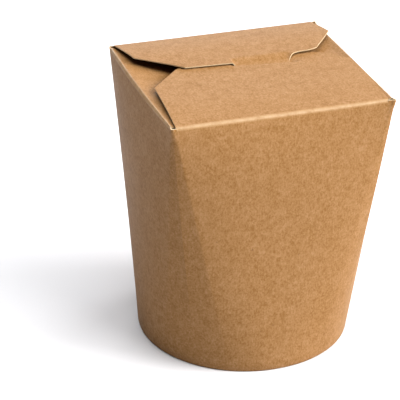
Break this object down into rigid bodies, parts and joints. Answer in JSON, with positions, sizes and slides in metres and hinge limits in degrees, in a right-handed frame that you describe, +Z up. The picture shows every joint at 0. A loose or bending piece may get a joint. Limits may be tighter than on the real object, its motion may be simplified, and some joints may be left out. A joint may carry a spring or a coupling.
{
  "type": "noodle takeaway box",
  "caption": "Shut kraft card food box with a round base that opens out to a square top, its lid flaps folded over and locked by a tucked tongue.",
  "frame": {"origin": "centre of the round base, on the surface that the box stands on", "axes": "+Z up, -Y towards the front face whose lid flap lies under the back one, +X to the right"},
  "size_m": [0.091, 0.0882, 0.115],
  "materials": {
    "card": "satin brown kraft board with fine fibres",
    "base_card": "matt brown kraft board"
  },
  "bodies": {
    "root": {"card_box": "card", "base_disc": "base_card"}
  },
  "joints": []
}
